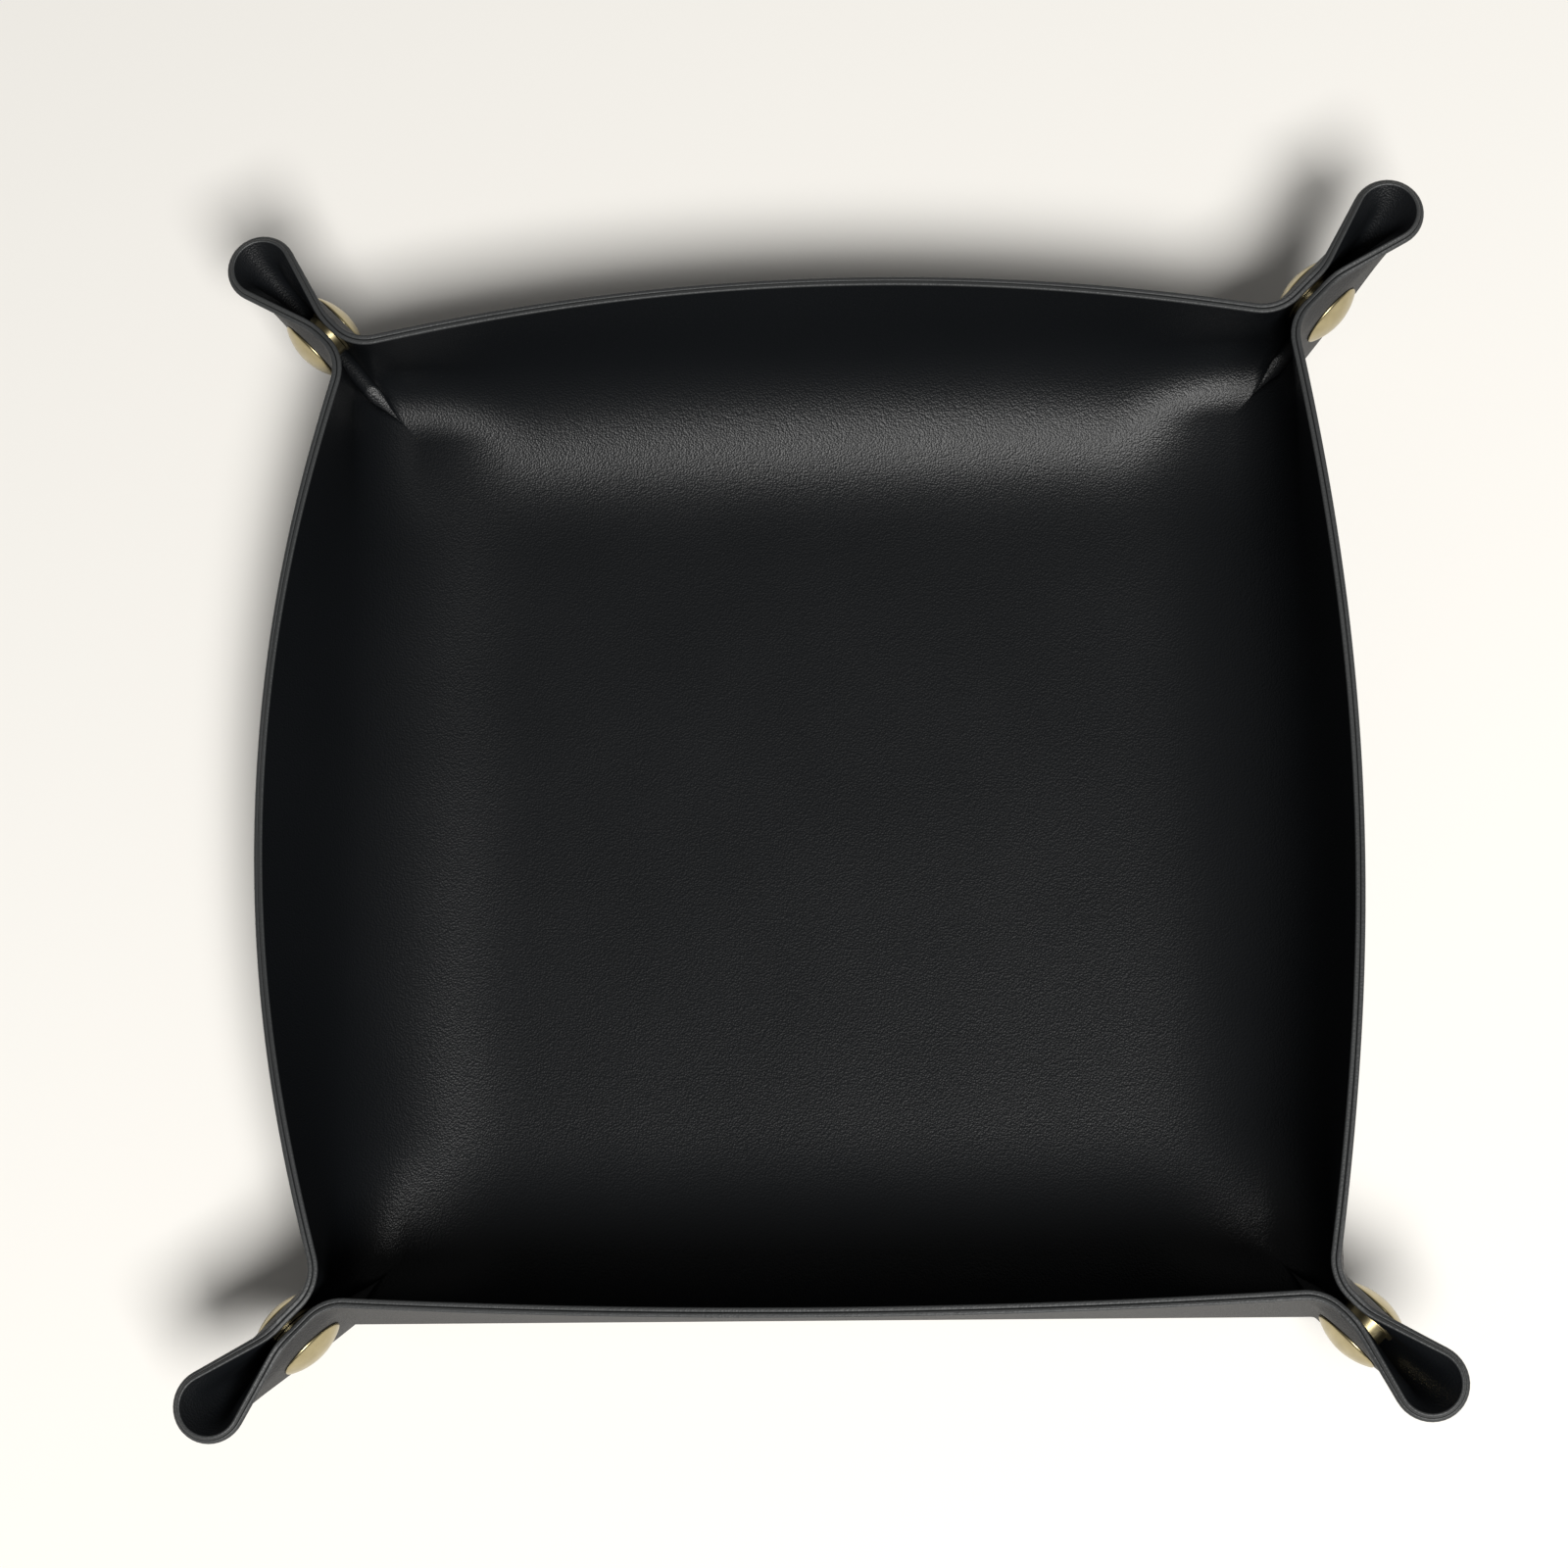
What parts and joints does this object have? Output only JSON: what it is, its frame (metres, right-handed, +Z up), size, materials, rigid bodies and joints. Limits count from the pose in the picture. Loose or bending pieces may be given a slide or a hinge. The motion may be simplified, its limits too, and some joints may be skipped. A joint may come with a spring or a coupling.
{
  "type": "valet tray",
  "caption": "Square leather valet tray with bowed walls folded up from a flat floor and pinched corner ears held by domed brass snap fasteners; unsnapped, it opens out almost flat.",
  "frame": {"origin": "middle of the floor panel's underside, on the table", "axes": "+Z up out of the tray, +Y towards the back wall, +X towards the right wall"},
  "size_m": [0.2234, 0.2234, 0.0342],
  "materials": {
    "outer_leather": "matte black grain",
    "lining_leather": "smooth black grain with a soft sheen",
    "brass": "aged satin",
    "spring_steel": "plain wire"
  },
  "bodies": {
    "floor": {"floor_outer": "outer_leather", "floor_lining": "lining_leather"},
    "back_wall": {"back_wall_outer": "outer_leather", "back_wall_lining": "lining_leather"},
    "back_wall_right_ear": {"back_wall_right_ear_outer": "outer_leather", "back_wall_right_ear_lining": "lining_leather", "back_wall_right_cap": "brass", "back_right_socket": "brass", "back_right_spring": "spring_steel"},
    "back_wall_left_ear": {"back_wall_left_ear_outer": "outer_leather", "back_wall_left_ear_lining": "lining_leather", "back_wall_left_cap": "brass", "left_back_stud": "brass"},
    "right_wall": {"right_wall_outer": "outer_leather", "right_wall_lining": "lining_leather"},
    "right_wall_front_ear": {"right_wall_front_ear_outer": "outer_leather", "right_wall_front_ear_lining": "lining_leather", "right_wall_front_cap": "brass", "right_front_socket": "brass", "right_front_spring": "spring_steel"},
    "right_wall_back_ear": {"right_wall_back_ear_outer": "outer_leather", "right_wall_back_ear_lining": "lining_leather", "right_wall_back_cap": "brass", "back_right_stud": "brass"},
    "front_wall": {"front_wall_outer": "outer_leather", "front_wall_lining": "lining_leather"},
    "front_wall_left_ear": {"front_wall_left_ear_outer": "outer_leather", "front_wall_left_ear_lining": "lining_leather", "front_wall_left_cap": "brass", "front_left_socket": "brass", "front_left_spring": "spring_steel"},
    "front_wall_right_ear": {"front_wall_right_ear_outer": "outer_leather", "front_wall_right_ear_lining": "lining_leather", "front_wall_right_cap": "brass", "right_front_stud": "brass"},
    "left_wall": {"left_wall_outer": "outer_leather", "left_wall_lining": "lining_leather"},
    "left_wall_back_ear": {"left_wall_back_ear_outer": "outer_leather", "left_wall_back_ear_lining": "lining_leather", "left_wall_back_cap": "brass", "left_back_socket": "brass", "left_back_spring": "spring_steel"},
    "left_wall_front_ear": {"left_wall_front_ear_outer": "outer_leather", "left_wall_front_ear_lining": "lining_leather", "left_wall_front_cap": "brass", "front_left_stud": "brass"}
  },
  "joints": [
    {"name": "back_fold", "type": "hinge", "parent": "floor", "child": "back_wall", "pos_m": [0, 0.08588, 0.00246], "axis": [-1, 0, 0], "range_deg": [0, 62]},
    {"name": "back_right_ear_fold", "type": "hinge", "parent": "back_wall", "child": "back_wall_right_ear", "pos_m": [0.086, 0.086, 0.004], "axis": [0.289, -0.0321, -0.9568], "range_deg": [0, 31]},
    {"name": "back_left_ear_fold", "type": "hinge", "parent": "back_wall", "child": "back_wall_left_ear", "pos_m": [-0.086, 0.086, 0.004], "axis": [0.289, 0.0321, 0.9568], "range_deg": [0, 31]},
    {"name": "right_fold", "type": "hinge", "parent": "floor", "child": "right_wall", "pos_m": [0.08588, 0, 0.00246], "axis": [0, 1, 0], "range_deg": [0, 62]},
    {"name": "right_front_ear_fold", "type": "hinge", "parent": "right_wall", "child": "right_wall_front_ear", "pos_m": [0.086, -0.086, 0.004], "axis": [-0.0321, -0.289, -0.9568], "range_deg": [0, 31]},
    {"name": "right_back_ear_fold", "type": "hinge", "parent": "right_wall", "child": "right_wall_back_ear", "pos_m": [0.086, 0.086, 0.004], "axis": [0.0321, -0.289, 0.9568], "range_deg": [0, 31]},
    {"name": "front_fold", "type": "hinge", "parent": "floor", "child": "front_wall", "pos_m": [0, -0.08588, 0.00246], "axis": [1, 0, 0], "range_deg": [0, 62]},
    {"name": "front_left_ear_fold", "type": "hinge", "parent": "front_wall", "child": "front_wall_left_ear", "pos_m": [-0.086, -0.086, 0.004], "axis": [-0.289, 0.0321, -0.9568], "range_deg": [0, 31]},
    {"name": "front_right_ear_fold", "type": "hinge", "parent": "front_wall", "child": "front_wall_right_ear", "pos_m": [0.086, -0.086, 0.004], "axis": [-0.289, -0.0321, 0.9568], "range_deg": [0, 31]},
    {"name": "left_fold", "type": "hinge", "parent": "floor", "child": "left_wall", "pos_m": [-0.08588, 0, 0.00246], "axis": [0, -1, 0], "range_deg": [0, 62]},
    {"name": "left_back_ear_fold", "type": "hinge", "parent": "left_wall", "child": "left_wall_back_ear", "pos_m": [-0.086, 0.086, 0.004], "axis": [0.0321, 0.289, -0.9568], "range_deg": [0, 31]},
    {"name": "left_front_ear_fold", "type": "hinge", "parent": "left_wall", "child": "left_wall_front_ear", "pos_m": [-0.086, -0.086, 0.004], "axis": [-0.0321, 0.289, 0.9568], "range_deg": [0, 31]}
  ],
  "couplings": [
    {"joint": "back_right_ear_fold", "follows": "back_fold", "ratio": 0.5},
    {"joint": "back_left_ear_fold", "follows": "back_fold", "ratio": 0.5},
    {"joint": "right_fold", "follows": "back_fold", "ratio": 1},
    {"joint": "right_front_ear_fold", "follows": "back_fold", "ratio": 0.5},
    {"joint": "right_back_ear_fold", "follows": "back_fold", "ratio": 0.5},
    {"joint": "front_fold", "follows": "back_fold", "ratio": 1},
    {"joint": "front_left_ear_fold", "follows": "back_fold", "ratio": 0.5},
    {"joint": "front_right_ear_fold", "follows": "back_fold", "ratio": 0.5},
    {"joint": "left_fold", "follows": "back_fold", "ratio": 1},
    {"joint": "left_back_ear_fold", "follows": "back_fold", "ratio": 0.5},
    {"joint": "left_front_ear_fold", "follows": "back_fold", "ratio": 0.5}
  ]
}
